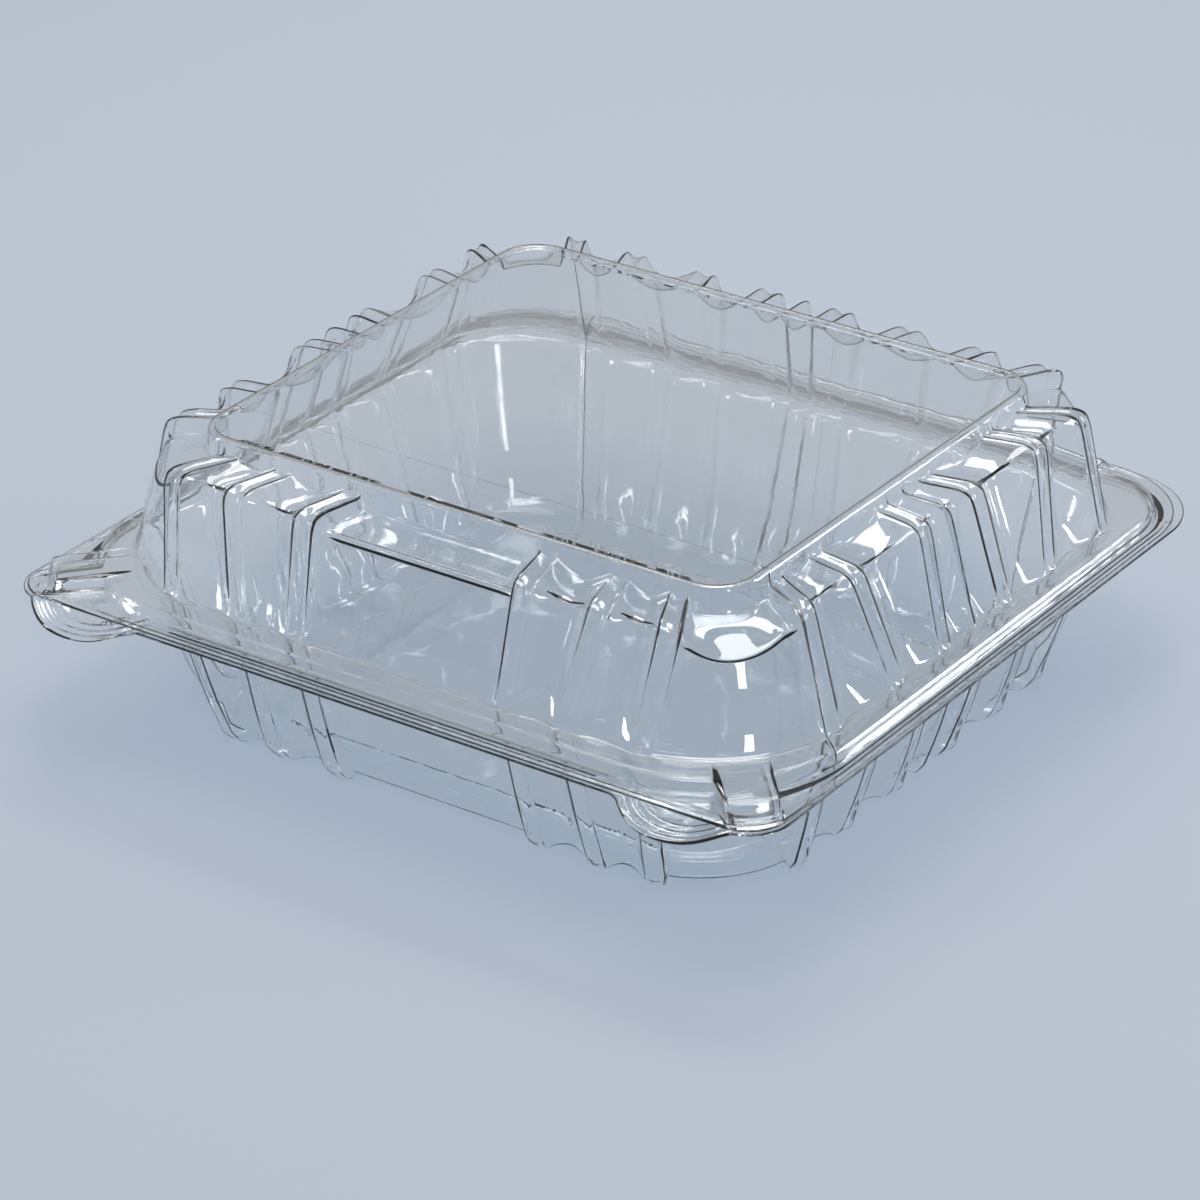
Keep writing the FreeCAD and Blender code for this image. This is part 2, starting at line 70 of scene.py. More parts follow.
# Plan outlines in millimetres: half width, front, back, front radius, back radius
TOP = (82.3, 74.7, 74.7, 12.0, 12.0)
SHOULDER = (94.0, 88.0, 88.0, 24.0, 20.0)
FOOT = (105.5, 98.0, 91.0, 42.0, 27.0)
LEDGE = (110.3, 105.0, 102.5, 40.0, 22.0)
FLOOR = (92.0, 84.5, 79.0, 34.0, 23.0)
LID_BRIM = (114.5, 110.0, 111.9, 11.0, 30.0)
TRAY_BRIM = (115.5, 111.0, 111.9, 12.0, 25.0)

# Depths below the ribs in millimetres: at the rib tops, at the shoulder, at the wall foot
DEPTHS = {
    WIDE_FOOT: (2.4, 4.6, 3.8),
    WIDE_TOP: (3.2, 5.0, 1.8),
    CORNER: (3.4, 2.4, 0.9),
    WINDOW: (3.4, 2.6, 1.2),
}

# Lines down the wall: across a rib as shares of its width, and how many there are over a
# hollow, over each end of a window, on a ramp, over a snap button's side and beside it.
# A hollow's lines crowd to its edges by this share of its width.
RIB_LINES = np.array([0.0, 0.06, 0.14, 0.28, 0.5, 0.72, 0.86, 0.94])
HOLLOW_LINES, WINDOW_LINES, RAMP_LINES, BUTTON_LINES, WIDE_LINES = 17, 8, 7, 15, 12
CROWDING = 0.12

# Places of lines in millimetres: from the middle of a snap button, from its side, and the
# step to the first line beside it
BUTTON_MIDDLE, BUTTON_SIDE, BESIDE_BUTTON = (1.6, 3.4), (-2.6, 1.6), 1.5

# Metres from the middle of a corner, given to the lines that lie on no corner
FAR_OFF = 1.0

# Length in millimetres of the rounding at each bend down the lid and down the tray, from
# the middle outwards, and the points in each
LID_CUTS = (0.0, 0.5, 0.45, 0.45, 0.4, 0.9, 2.5, 2.0, 1.4, 2.0, 4.0, 0.8, 1.6, 1.3, 0.0)
TRAY_CUTS = (0.0, 0.5, 0.5, 1.5, 0.8, 0.9, 5.0, 5.0, 1.6, 1.2, 0.0)
CUT_POINTS = 4

# Crest of the rim bead, as shares of its width from the outside
RIM_CREST = (0.68, 0.28)

# Insets in millimetres from the floor outline: inside the floor panel, its edge, its foot,
# the outer edge of the standing band and the start of the rib toes
FLOOR_INSETS = (18.0, 16.8, 16.0, 6.5, 2.4)

# Rows across each brim, and the share of its width at which its edge bead starts
LID_BRIM_ROWS, TRAY_BRIM_ROWS, BEAD_START = 10, 24, 0.45

# The lid's edge bead ends before the fold, at this distance in metres behind the middle.
# The tray's bead is lower by this factor.
BEADED_TO, TRAY_BEAD = 0.09, 0.6

# In millimetres: length over which a hinge bead fades out on each side of its end, where
# ridges begin and end inwards from the edge of a finger tab, and where in front of the
# tab's middle they start and how fast they rise
BEAD_FADE, RIDGE_BAND, RIDGE_FADE = 2.0, (0.6, 8.0), (3.0, 5.0)

# Points round the crease, its inner radius and the reach of its bend in sheet thicknesses
FOLD_POINTS, FOLD_INSIDE, FOLD_TURN = 13, 0.4, 0.6

# Unevenness of the sheet from forming: waves about 14 mm long
WAVES_PER_METRE = 70.0

# Softboxes: name, place, width and height in metres, radiance against a fully lit white
LAMPS = (
    ("top_softbox", (0.15, -0.1, 1.25), (0.8, 0.45), 5.5),
    ("back_softbox", (-0.35, 0.62, 1.15), (0.75, 0.4), 5.5),
    ("left_strip", (-2.75, -1.4, 0.85), (0.33, 1.5), 9.0),
    ("near_strip", (2.75, -1.5, 0.85), (0.33, 1.5), 9.0),
    ("right_strip", (2.1, 2.4, 0.95), (0.33, 1.75), 9.0),
)
LAMPS_FACE = (0.0, 0.0, 0.04)
SURROUND = 0.4
FLOOR_REACH = 6.0

# Camera: width of its frame and focal length in pixels, direction in degrees, distance
# and target in metres
FRAME_WIDTH, FOCAL_LENGTH = 1200, 5111
AZIMUTH, ELEVATION, DISTANCE = 34.4, 27.45, 1.295
TARGET = (0.01843, -0.0331, 0.046)


def length(name, millimetres, description):
    """A length property whose default is given in millimetres."""
    return FloatProperty(name=name, description=description, default=millimetres * MM,
                         unit="LENGTH", precision=5)


def colour(name, default, description):
    """An sRGB colour property written as a hex word."""
    return StringProperty(name=name, description=description, default=default)


class ClamshellSizes(bpy.types.PropertyGroup):
    """Sizes of both shells."""

    sheet: length("Sheet", 0.5, "Thickness of the formed sheet")
    total_height: length("Total height", 82.0, "Table to the bead on the lid")
    tray_height: length("Tray height", 42.0, "Table to the plane where the brims meet")
    rim_bead: length("Rim bead", 1.0, "Height of the bead round the top panel")
    rim_bead_width: length("Rim bead width", 2.6, "Width of the bead round the top panel")
    step_height: length("Step", 3.6, "Drop from the rim bead to the rib tops")
    shoulder_drop: length("Shoulder", 4.0, "Height and reach of the rounded shoulder")
    ledge_rise: length("Ledge", 4.5, "Lid ledge above the plane where the brims meet")
    step_draft: length("Step draft", 0.8, "Outward lean of each upright step")
    side_middle: length("Side middle", 3.0, "The side ribs are spaced about this place")
    middle_y: length("Middle", 3.4, "Moves the middle of the whole box to the origin")
    rib_width: length("Rib width", 5.0, "Width of each rib")
    rib_dip: length("Rib channel", 0.7, "Depth of the channel down each rib")
    ramp: length("Ramp", 1.6, "Slope from a rib down to a smooth stretch")
    crest_softness: length("Edge softness", 0.6, "Rounding of the rib edges")
    tray_flute: length("Tray flute", 3.6, "Depth of the flutes of the tray wall")
    tray_smooth: length("Tray hollow", 1.6, "Depth of the smooth stretches of the tray wall")
    bevel_height: length("Bevel", 8.5, "Height of the bevel between two rib feet")
    toe_height: length("Rib toe", 3.0, "Height of the toe of each rib")
    button_reach: length("Button reach", 12.0, "How far a snap button stands out")
    button_width: length("Button width", 13.0, "Width of a snap button")
    button_side: length("Button side", 1.2, "Width of the slope at each side of a snap button")
    mouth_inset: length("Mouth inset", 1.2, "Tray mouth inside the foot of the lid wall")
    nest_gap: length("Nest gap", 0.8, "Gap between the upright steps of tray and lid")
    nest_drop: length("Nest drop", 1.0, "Gap between the ledges of tray and lid")
    panel_flat: length("Panel margin", 2.0, "Flat margin inside the rim bead")
    rim_foot: length("Rim foot", 0.8, "Height of the rim bead over its outer foot")
    panel_rise: length("Floor panel", 0.8, "Rise of the floor panel over the standing band")
    ridge_pitch: length("Ridge pitch", 2.4, "Spacing of the ridges on a finger tab")
    ridge_height: length("Ridge height", 0.7, "Height of the ridges on a finger tab")
    bead_height: length("Hinge bead", 3.0, "Height of the beads beside the fold")
    bead_half: length("Hinge bead half length", 84.0, "Half length of the hinge beads")
    tab_x: length("Tab place", 90.0, "Distance of a finger tab from the middle")
    tab_y: length("Tab middle", 97.3, "Middle of the round of a finger tab")
    tab_radius: length("Tab radius", 21.4, "Radius of a finger tab")
    tab_drop: length("Tab drop", 3.0, "How far a finger tab hangs below the brim")
    lip: length("Lip", 0.35, "Height of the bead along the brim edges")
    facet_half: length("Facet half width", 20.0, "Half width of the facet across each corner")
    facet_drop: length("Facet drop", 4.0, "How far the facet cuts below the corner's shoulder")
    toe_bow: length("Toe bow", 1.2, "How far the middle of a rib's toe stands out")


class ClamshellLook(bpy.types.PropertyGroup):
    """Colours and finish of the plastic and the stage."""

    tint: colour("Sheet colour", "#FCFDFD", "Colour of the clear plastic in thick places")
    shade: colour("Shade colour", "#F4F7F9", "Colour of the light that passes the sheet")
    roughness: FloatProperty(name="Roughness", description="Roughness of the formed sheet",
                             default=0.02, min=0.0, max=1.0)
    floor: colour("Floor colour", "#B6BECB", "Colour of the floor")


def sizes():
    return bpy.context.scene.clamshell_sizes


def look():
    return bpy.context.scene.clamshell_look


def outline(values, grow=0.0):
    """Five plan numbers of a rounded rectangle in metres, all moved outwards by one length."""
    return np.array(values) * MM + grow


def quarter(plan, back):
    """Reach along X, reach along Y from the side middle, and corner radius, per column."""
    middle = sizes().side_middle
    reach_y = np.where(back, plan[2] - middle, plan[1] + middle)
    radius = np.where(back, plan[4], plan[3])
    return plan[0], reach_y, radius


def quarter_length(plan, back):
    """Length of a quarter outline: both straights and a quarter of a circle."""
    reach_x, reach_y, radius = quarter(plan, back)
    return reach_x + reach_y - 2 * radius + radius * math.pi / 2


def corner_share(plan, back):
    """Share of the quarter outline at which its corner arc is half done."""
    radius = quarter(plan, back)[2]
    return (plan[0] - radius + radius * math.pi / 4) / quarter_length(plan, back)


def place(plan, back, share, inset):
    """Points of a rounded rectangle: along the straight from the middle of an end, round
    the corner arc, whose radius is less by the inset, and down the side."""
    reach_x, reach_y, radius = quarter(plan, back)
    along = share * quarter_length(plan, back)
    straight = reach_x - radius
    turn = np.clip((along - straight) / radius, 0.0, math.pi / 2)
    past = np.maximum(along - straight - radius * math.pi / 2, 0.0)
    x = np.minimum(along, straight) + (radius - inset) * np.sin(turn)
    y = reach_y - radius + (radius - inset) * np.cos(turn) - past
    return x, sizes().side_middle + np.where(back, y, -y)


def smooth(t):
    """Three t squared minus two t cubed, between 0 and 1."""
    t = np.clip(t, 0.0, 1.0)
    return t * t * (3 - 2 * t)


def rib_edges(back, lengths, from_side):
    """Shares of the quarter outline at both edges of a rib, for top, foot and floor."""
    edges = []
    half = sizes().rib_width / 2
    for step in (-1, 1):
        shares = []
        for plan, along in zip((TOP, FOOT, FLOOR), lengths):
            total = float(quarter_length(outline(plan), back))
            reach = along * MM + step * half * (-1 if from_side else 1)
            shares.append((total - reach if from_side else reach) / total)
        edges.append(shares)
    return edges


def knots():
    """The edges of every stretch on the right half, from the middle of the front to the
    middle of the back: quarter, shares at top, foot and floor, and the kind that follows."""
    found = [(False, (0.0, 0.0, 0.0), WINDOW)]
    groups = (
        (False, FRONT_RIBS, False, 1, 0),
        (False, SIDE_RIBS[::-1], True, 1, 1),
        (True, SIDE_RIBS, True, -1, 0),
        (True, BACK_RIBS[::-1], False, -1, 0),
    )
    for number, (back, ribs, from_side, way, first) in enumerate(groups):
        if number == 2:
            found.append((True, (1.0, 1.0, 1.0), WIDE_FOOT))
        for index, lengths in enumerate(ribs):
            near, far = rib_edges(back, lengths, from_side)[::way]
            last = index == len(ribs) - 1
            kind = (WIDE_FOOT, WIDE_TOP)[(index + 1 + first) % 2]
            if last:
                kind = (CORNER, WIDE_FOOT, CORNER, WIDE_TOP)[number]
            found.append((back, tuple(near), RIB))
            found.append((back, tuple(far), kind))
    found.append((True, (0.0, 0.0, 0.0), WIDE_TOP))
    return found


class Columns:
    """Lines that run down the wall of the right half, one number of each array per line."""

    def __init__(self):
        size = sizes()
        marks = knots()
        self.parts = {key: [] for key in ("back", "top", "foot", "floor", "mark", "off")}
        self.weights = {kind: [] for kind in range(5)}
        for here, there in zip(marks, marks[1:]):
            self.stretch(here, there, size)
        for key, pieces in self.parts.items():
            setattr(self, key, np.concatenate(pieces))
        self.weights = {kind: np.concatenate(w) for kind, w in self.weights.items()}
        self.back = self.back > 0.5

    def add(self, back, shares, mark, off, **weights):
        """Appends lines to every array. off is the distance to the middle of a corner."""
        count = len(mark)
        values = (np.full(count, float(back)), *shares, mark, off)
        for key, value in zip(self.parts, values):
            self.parts[key].append(np.broadcast_to(value, (count,)))
        for kind in self.weights:
            given = weights.get("w%d" % kind, 0.0)
            self.weights[kind].append(np.broadcast_to(given, (count,)))

    def stretch(self, here, there, size):
        """Lines from one knot up to the next, the next one left out."""
        back, start, kind = here
        end = there[1]
        if kind == CORNER:
            self.corner(here, there, size)
            return
        span = abs(end[1] - start[1]) * float(quarter_length(outline(FOOT), back))
        if kind == RIB:
            t = RIB_LINES
        elif kind == WINDOW:
            edge = size.ramp / span
            t = np.concatenate([np.linspace(0, 1 - edge, WINDOW_LINES)[:-1],
                                1 - edge * np.linspace(1, 0, WINDOW_LINES)[:-1]])
        else:
            s = np.linspace(0, 1, HOLLOW_LINES)[:-1]
            t = s - CROWDING * np.sin(2 * math.pi * s)
        shares = [a + (b - a) * t for a, b in zip(start, end)]
        if kind == WINDOW:
            weight = smooth((1 - t) * span / size.ramp)
        else:
            weight = self.hollow(t, span, size)
        self.add(back, shares, np.ones(len(t)), np.full(len(t), FAR_OFF),
                 **{"w%d" % kind: weight})

    @staticmethod
    def hollow(t, span, size):
        """A parabola from edge to edge, one in the middle, rounded off at both edges."""
        edge = size.crest_softness / span
        near = np.minimum(t, 1 - t)
        soft = np.sqrt(near * near + edge * edge) - edge
        return 4 * soft * (1 - soft)

    def corner(self, here, there, size):
        """A smooth corner: both halves run from a rib to the middle of the corner arc."""
        ledge = outline(LEDGE)
        ramp = size.ramp * np.linspace(0, 1, RAMP_LINES)
        button = size.button_width / 2
        close = np.concatenate([[0.0], np.array(BUTTON_MIDDLE) * MM,
                                button + np.linspace(*BUTTON_SIDE, BUTTON_LINES) * MM])
        for (back, rib, kind), sign in ((here, 1), ((there[0], there[1], CORNER), -1)):
            whole = float(quarter_length(outline(FOOT), back))
            middle = float(corner_share(ledge, back))
            step = size.ramp / whole * math.copysign(1, middle - rib[1])
            start = [share + step for share in rib]
            reach = abs(middle - start[1]) * float(quarter_length(ledge, back))
            wide = np.linspace(close[-1] + BESIDE_BUTTON * MM, reach, WIDE_LINES)
            off = np.concatenate([close, wide])
            down = np.concatenate([ramp[:-1], np.full(len(off), size.ramp)])
            far = np.concatenate([np.full(len(ramp) - 1, reach), off[::-1]])
            shares = [share + step * down / size.ramp for share in rib]
            mark = far / reach
            weight = smooth(down / size.ramp)
            order = np.arange(len(far))
            if sign < 0:
                order = order[::-1][1:]
            self.add(back, [s[order] for s in shares], mark[order], far[order],
                     **{"w%d" % CORNER: weight[order]})

    def share(self, plan, lean, floor):
        """Share of the quarter outline: it runs evenly from the rib's place at the top to
        its place at the foot and the floor, and in a corner towards the arc's middle."""
        share = self.top + (self.foot - self.top) * lean
        share = share + (self.floor - share) * floor
        middle = corner_share(plan, self.back)
        return np.where(self.mark < 1.0, middle + (share - middle) * self.mark, share)

    def line(self, plan, z, lean=1.0, floor=0.0, depth=None, drop=None, button=0.0, narrow=0.0,
             facet=0.0):
        """One row of points round the right half of a shell. A facet lowers the row at the
        middle of a corner, less by the square of the distance from it."""
        size = sizes()
        zero = np.zeros(len(self.mark))
        inset = sum((self.weights[k] * d for k, d in (depth or {}).items()), zero)
        fall = sum((self.weights[k] * d for k, d in (drop or {}).items()), zero)
        cut = np.maximum(1 - (self.off / size.facet_half) ** 2, 0.0)
        fall = fall + facet * size.facet_drop * cut
        x, y = place(plan, self.back, self.share(plan, lean, floor), inset)
        half = size.button_width / 2 - narrow
        push = smooth((half + size.button_side - self.off) / size.button_side) * ~self.back
        x = x + push * button * math.sqrt(0.5)
        y = y - push * button * math.sqrt(0.5)
        return np.stack([x, y, z - fall], axis=1)


def valley(place_down):
    """Inward depths at one height of the lid wall, from 0 at the rib tops by 1 at the
    shoulder to 2 at the foot."""
    size = sizes()
    depths = {RIB: size.rib_dip * min(place_down, 1.0)}
    for kind, (_, shoulder, foot) in DEPTHS.items():
        if place_down <= 1.0:
            depths[kind] = shoulder * place_down * MM
        else:
            depths[kind] = (shoulder + (foot - shoulder) * (place_down - 1.0)) * MM
    return depths


def sinking(share):
    """Downward depths near the rib tops."""
    drops = {kind: depths[0] * share * MM for kind, depths in DEPTHS.items()}
    drops[RIB] = sizes().rib_dip * share
    return drops


def rounded(lines, cuts):
    """Chains of straight runs down the shell whose corners are parabolas. Each parabola
    leaves both runs at the cut length from its corner, or at just under half a run."""
    rows = [lines[0]]
    for i in range(1, len(lines) - 1):
        cut = cuts[i] * MM
        before = lines[i - 1] - lines[i]
        after = lines[i + 1] - lines[i]
        far = np.linalg.norm(before, axis=1, keepdims=True)
        on = np.linalg.norm(after, axis=1, keepdims=True)
        a = lines[i] + before / far * np.minimum(cut, far * 0.48)
        b = lines[i] + after / on * np.minimum(cut, on * 0.48)
        for t in np.linspace(0, 1, CUT_POINTS):
            rows.append((1 - t) ** 2 * a + 2 * t * (1 - t) * lines[i] + t * t * b)
    rows.append(lines[-1])
    return rows


def brim_rows(foot, edge, count, raised):
    """Rows from the foot of the step to the edge of the brim, straight between the two,
    each raised by a height that depends on its place."""
    rows = []
    for s in np.linspace(0, 1, count + 1)[1:]:
        points = foot + (edge - foot) * s
        points[:, 2] += raised(points, s)
        rows.append(points)
    return rows


def hinge_bead(points, s):
    """A cosine ridge across the brim along the back, which fades out at its ends."""
    size = sizes()
    past = BEAD_FADE * MM
    fade = smooth((size.bead_half + past - np.abs(points[:, 0])) / (2 * past))
    return size.bead_height * fade * (points[:, 1] > 0) * math.sin(math.pi * s) ** 2


def edge_bead(s):
    """A low cosine ridge along the outer half of the brim."""
    return sizes().lip * math.sin(math.pi * np.clip((s - BEAD_START) / (1 - BEAD_START), 0, 1)) ** 2


def tab_edge(edge):
    """Brim edge pushed out to a round, lowered finger tab at each front corner."""
    size = sizes()
    across = np.abs(edge[:, 0] - size.tab_x)
    on = (across < size.tab_radius) & (edge[:, 1] < 0)
    front = -size.tab_y - np.sqrt(np.maximum(size.tab_radius ** 2 - across ** 2, 0.0))
    reach = np.where(on, np.maximum(edge[:, 1] - front, 0.0), 0.0)
    full = size.tab_y + size.tab_radius - LID_BRIM[1] * MM
    result = edge.copy()
    result[:, 1] -= reach
    result[:, 2] -= size.tab_drop * smooth(reach / full)
    return result


def tab_ridges(points):
    """Three round ridges that follow the edge of the finger tab."""
    size = sizes()
    radius = np.hypot(points[:, 0] - size.tab_x, points[:, 1] + size.tab_y)
    inward = size.tab_radius - radius
    start, rise = RIDGE_FADE
    fade = smooth((-points[:, 1] - size.tab_y - start * MM) / (rise * MM))
    wave = np.cos(2 * math.pi * (inward / size.ridge_pitch - 0.5)) * 0.5 + 0.5
    near, far = RIDGE_BAND
    band = (inward > near * MM) & (inward < far * MM)
    return np.where(band, wave * fade, 0.0) * size.ridge_height


def lid_rows(columns):
    """Rows of the lid from its top panel to the edge of its brim. Each stage between the
    rim and the ledge holds its plan outline, its height, its inward and downward depths
    and the share of the corner facet there."""
    size = sizes()
    top, shoulder, foot = outline(TOP), outline(SHOULDER), outline(FOOT)
    ledge, brim = outline(LEDGE), outline(LID_BRIM)
    high = size.total_height
    rib_top = high - size.step_height
    bead = size.rim_bead_width
    wall_top, wall_top_z = shoulder + size.shoulder_drop, rib_top - size.shoulder_drop
    ledge_z = size.tray_height + size.ledge_rise
    brim_z = size.tray_height + size.sheet
    bend = math.sqrt(0.5)
    stages = [
        (top + size.step_draft, rib_top, {}, sinking(1.0), 0.0),
        (top + (shoulder - top) * 0.5, rib_top, valley(0.25), sinking(1.25), 0.0),
        (shoulder, rib_top, valley(0.6), sinking(1.3), 0.75),
        (shoulder + size.shoulder_drop * bend, rib_top - size.shoulder_drop * (1 - bend),
         valley(0.85), sinking(1.1), 0.95),
        (wall_top, wall_top_z, valley(1.0), sinking(0.8), 0.7),
        (wall_top + (foot - wall_top) * 0.4, wall_top_z + (ledge_z - wall_top_z) * 0.4,
         valley(1.4), sinking(0.2), 0.0),
        (wall_top + (foot - wall_top) * 0.8, wall_top_z + (ledge_z - wall_top_z) * 0.8,
         valley(1.8), {}, 0.0),
        (foot, ledge_z, {kind: depth * 0.3 for kind, depth in valley(2.0).items()}, {}, 0.0),
    ]
    travel = [0.0]
    for a, b in zip(stages, stages[1:]):
        travel.append(travel[-1] + math.hypot(b[0][0] - a[0][0], b[1] - a[1]))
    lines = [
        columns.line(top - bead - size.panel_flat, high - size.rim_bead, lean=0.0),
        columns.line(top - bead, high - size.rim_bead, lean=0.0),
        columns.line(top - bead * RIM_CREST[0], high, lean=0.0),
        columns.line(top - bead * RIM_CREST[1], high, lean=0.0),
        columns.line(top, high - size.rim_foot, lean=0.0),
    ]
    for (plan, z, depth, drop, facet), way in zip(stages, travel):
        lines.append(columns.line(plan, z, lean=way / travel[-1], depth=depth, drop=drop,
                                  facet=facet))
    reach = size.button_reach
    lines.append(columns.line(ledge, ledge_z, button=reach))
    lines.append(columns.line(ledge + size.step_draft, brim_z, button=reach))
    edge = columns.line(brim, brim_z)

    def raised(points, s):
        return hinge_bead(points, s) + edge_bead(s) * (points[:, 1] < BEADED_TO)

    return rounded(lines, LID_CUTS) + brim_rows(lines[-1], edge, LID_BRIM_ROWS, raised)


def tray_depths(share, bow=0.0):
    """Inward depths on the tray wall. A bow makes the middle of each rib stand out."""
    size = sizes()
    rib = -size.toe_bow * bow if bow else size.rib_dip * share
    return {WIDE_FOOT: size.tray_flute * share, WIDE_TOP: size.tray_flute * share,
            CORNER: size.tray_smooth * share, WINDOW: size.tray_smooth * share, RIB: rib}


def lifted(height):
    """Stretches between the ribs rise by this height near the floor."""
    return {WIDE_FOOT: -height, WIDE_TOP: -height, CORNER: -height, WINDOW: -height}


def tray_rows(columns):
    """Rows of the tray from its floor panel to the edge of its brim. Each holds its plan
    outline and height, how far the ribs lean to their places at the floor, and its inward
    and downward depths."""
    size = sizes()
    floor = outline(FLOOR)
    inside, panel, panel_foot, band, toes = (floor - inset * MM for inset in FLOOR_INSETS)
    mouth = outline(FOOT) - size.mouth_inset
    narrow = 2 * size.sheet + size.nest_gap
    crest = outline(LEDGE) - narrow
    brim = outline(TRAY_BRIM)
    crest_z = size.tray_height + size.ledge_rise - 2 * size.sheet - size.nest_drop
    brim_z = size.tray_height - size.sheet
    bevel, toe = size.bevel_height, size.toe_height
    lines = [
        columns.line(inside, size.panel_rise, floor=1.0),
        columns.line(panel, size.panel_rise, floor=1.0),
        columns.line(panel_foot, 0.0, floor=1.0),
        columns.line(band, 0.0, floor=1.0),
        columns.line(toes, 0.0, floor=1.0, depth=tray_depths(0.45, 0.5),
                     drop=lifted(bevel * 0.3)),
        columns.line(floor, toe, floor=1.0, depth=tray_depths(1.0, 1.0), drop=lifted(bevel - toe)),
        columns.line(floor + (mouth - floor) * 0.3, crest_z * 0.3, floor=0.7,
                     depth=tray_depths(1.0)),
        columns.line(floor + (mouth - floor) * 0.65, crest_z * 0.65, floor=0.35,
                     depth=tray_depths(0.95)),
        columns.line(mouth, crest_z, depth=tray_depths(0.8)),
        columns.line(crest, crest_z, button=size.button_reach, narrow=narrow),
        columns.line(crest + size.step_draft, brim_z, button=size.button_reach, narrow=narrow),
    ]
    edge = tab_edge(columns.line(brim, brim_z))

    def raised(points, s):
        return tab_ridges(points) - hinge_bead(points, s) - edge_bead(s) * TRAY_BEAD

    return rounded(lines, TRAY_CUTS) + brim_rows(lines[-1], edge, TRAY_BRIM_ROWS, raised)


def both_halves(rows):
    """A closed grid: the right half and its mirror image, moved to the box's middle."""
    right = np.stack(rows)
    right[:, :, 1] += sizes().middle_y
    right[:, (0, -1), 0] = 0.0
    left = right[:, -2:0:-1] * np.array([-1.0, 1.0, 1.0])
    return np.concatenate([right, left], axis=1)


def grid_normals(grid, sign):
    """Unit normals from the cross product of the differences along both parameters."""
    across = np.roll(grid, -1, axis=1) - np.roll(grid, 1, axis=1)
    down = np.gradient(grid, axis=0)
    normals = np.cross(down, across) * sign
    longest = np.linalg.norm(normals, axis=2, keepdims=True)
    return normals / np.maximum(longest, 1e-12)


def sheet_mesh(name, grid, sign):
    """A closed sheet: the outer skin, the same skin moved in by the sheet's thickness along
    its normals, two flat panels across the middle and the cut edge round the brim."""
    rows, around = grid.shape[:2]
    half = around // 2
    normals = grid_normals(grid, sign)
    normals[0] = (0.0, 0.0, sign)
    inner = grid - normals * sizes().sheet
    points = np.concatenate([grid.reshape(-1, 3), inner.reshape(-1, 3)])
    index = np.arange(rows * around).reshape(rows, around)
    after = np.roll(index, -1, axis=1)
    skin = np.stack([index[:-1], after[:-1], after[1:], index[1:]], axis=-1).reshape(-1, 4)
    k = np.arange(half)
    panel = np.stack([k, k + 1, around - k - 1, (around - k) % around], axis=1)
    first = (0, 1, around - 1, 0)
    last = (half - 1, half, half + 1, half - 1)
    panel = np.concatenate([[first], panel[1:-1], [last]])
    more = rows * around
    rim = np.stack([index[-1], after[-1], after[-1] + more, index[-1] + more], axis=-1)
    outside = np.concatenate([skin[:, ::-1], panel])
    inside = outside[:, ::-1] + more
    faces = np.concatenate([outside, inside, rim[:, ::-1]])
    if sign < 0:
        faces = faces[:, ::-1]
    mesh = bpy.data.meshes.new(name)
    mesh.from_pydata(points.tolist(), [], [list(dict.fromkeys(face)) for face in faces.tolist()])
    mesh.update()
    mesh.shade_smooth()
    return mesh


def add_piece(mesh, body, node):
    """Puts a finished mesh into the scene in place of a node and lets it move with a body."""
    made = bpy.data.objects.new(mesh.name, mesh)
    bpy.context.scene.collection.objects.link(made)
    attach(made, body)
    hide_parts(node)
    made.data.materials.append(oriented_polystyrene())
    return made


def linear(hex_colour):
    """An sRGB hex word as linear red, green, blue and alpha."""
    parts = [int(hex_colour[i:i + 2], 16) / 255 for i in (1, 3, 5)]
    return [c / 12.92 if c <= 0.04045 else ((c + 0.055) / 1.055) ** 2.4 for c in parts] + [1.0]


def add_node(material, kind, links=(), **settings):
    """Adds a node, sets its sockets and properties, and links (output, input) pairs."""
    tree = material.node_tree
    node = tree.nodes.new(kind)
    for key, value in settings.items():
        name = key.replace("_", " ")
        if name in node.inputs:
            node.inputs[name].default_value = value
        else:
            setattr(node, key, value)
    for source, target in links:
        tree.links.new(source, node.inputs[target])
    return node


def oriented_polystyrene():
    """Clear oriented polystyrene sheet, thermoformed: glossy on both sides, with faint
    waviness from the mould and from stretching."""
    material = bpy.data.materials.get("oriented_polystyrene")
    if material:
        return material
    material = bpy.data.materials.new("oriented_polystyrene")
    material.use_nodes = True
    tree = material.node_tree
    tree.nodes.clear()
    place_in = add_node(material, "ShaderNodeTexCoord")
    wave = add_node(material, "ShaderNodeTexNoise", [(place_in.outputs["Object"], "Vector")],
                    Scale=WAVES_PER_METRE, Detail=2.0)
    bump = add_node(material, "ShaderNodeBump", [(wave.outputs["Fac"], "Height")],
                    Strength=0.25, Distance=0.0004)
    clear = add_node(material, "ShaderNodeBsdfPrincipled", [(bump.outputs["Normal"], "Normal")],
                     Base_Color=linear(look().tint), Roughness=look().roughness,
                     IOR=1.58, Transmission_Weight=1.0)
    passing = add_node(material, "ShaderNodeBsdfTransparent", Color=linear(look().shade))
    path = add_node(material, "ShaderNodeLightPath")
    shader = clear
    for ray in ("Is Diffuse Ray", "Is Shadow Ray"):
        shader = add_node(material, "ShaderNodeMixShader",
                          [(path.outputs[ray], 0), (shader.outputs[0], 1), (passing.outputs[0], 2)])
    add_node(material, "ShaderNodeOutputMaterial", [(shader.outputs[0], "Surface")])
    return material


class CLAMSHELL_OT_lid(bpy.types.Operator):
    """Builds the ribbed lid with its snap buttons and brim"""

    bl_idname = "clamshell.lid"
    bl_label = "Lid"

    def execute(self, context):
        grid = both_halves(lid_rows(Columns()))
        add_piece(sheet_mesh("lid_shell", grid, 1.0), "lid", "lid")
        return {"FINISHED"}


